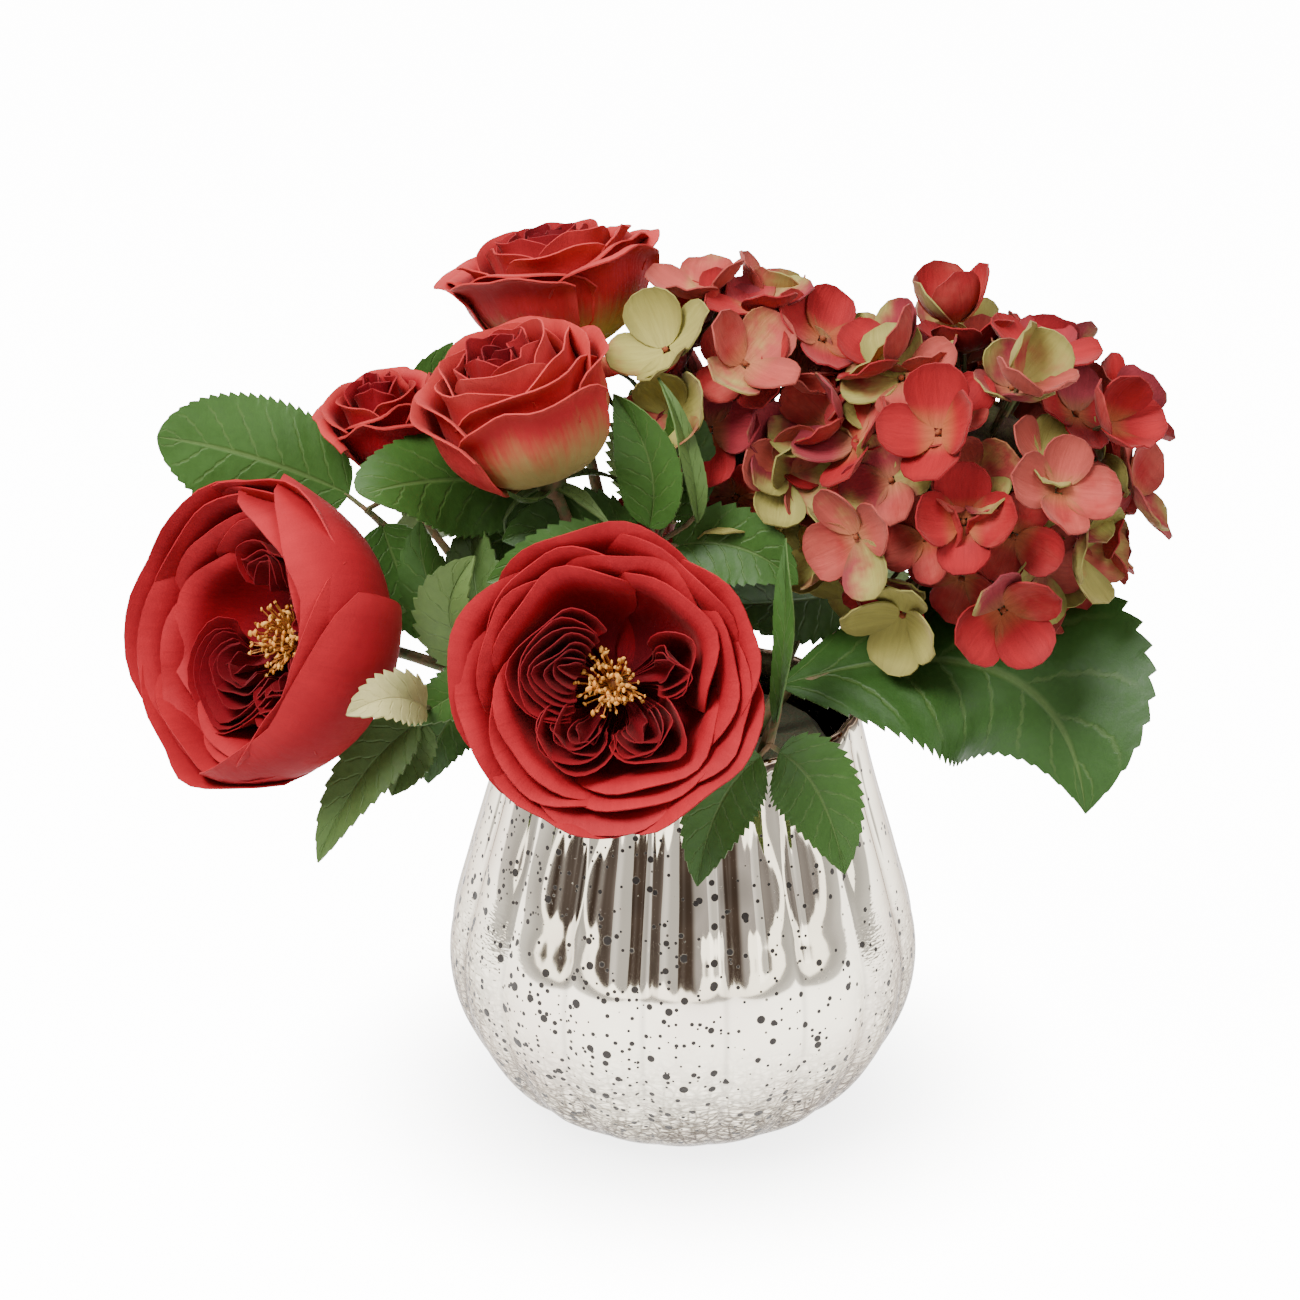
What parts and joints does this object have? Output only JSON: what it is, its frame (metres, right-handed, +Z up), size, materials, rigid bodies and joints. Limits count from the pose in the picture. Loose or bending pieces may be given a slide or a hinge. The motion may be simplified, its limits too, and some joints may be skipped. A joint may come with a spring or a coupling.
{
  "type": "floral table centerpiece",
  "caption": "Cloth roses, hydrangea heads and leafy sprays stand in foam in a low ribbed vase of silvered glass.",
  "frame": {"origin": "middle of the vase's flat base", "axes": "+Z up along the vase's axis, -Y towards the front, where the open rose faces"},
  "size_m": [0.3582, 0.2168, 0.3145],
  "materials": {
    "petals_deep": "soft woven petals, deep red",
    "petals_coral": "soft woven petals, coral red with pale green base",
    "florets": "soft woven petals, coral, mauve and yellow green",
    "leaf": "pressed cloth leaves and wrapped stems, satin green",
    "stamen": "matt yellow grains",
    "foam": "dark green dry foam",
    "mercury_glass": "silvered glass with dark flecks and crackle"
  },
  "bodies": {
    "root": {"rose_front_bloom": "petals_deep", "rose_front_stem": "leaf", "rose_front_stamens": "stamen", "rose_left_bloom": "petals_deep", "rose_left_stem": "leaf", "rose_left_stamens": "stamen", "rose_top_bloom": "petals_coral", "rose_top_stem": "leaf", "rose_half_open_bloom": "petals_coral", "rose_half_open_stem": "leaf", "rose_bud_bloom": "petals_deep", "rose_bud_stem": "leaf", "hydrangea_right_head": "florets", "hydrangea_right_stem": "leaf", "hydrangea_back_head": "florets", "hydrangea_back_stem": "leaf", "spray_upper_left": "leaf", "spray_centre": "leaf", "spray_lower_left": "leaf", "spray_left": "leaf", "spray_middle": "leaf", "spray_front": "leaf", "spray_back_left": "leaf", "spray_back": "leaf", "spray_back_right": "leaf", "floral_foam": "foam", "vase": "mercury_glass"}
  },
  "joints": []
}
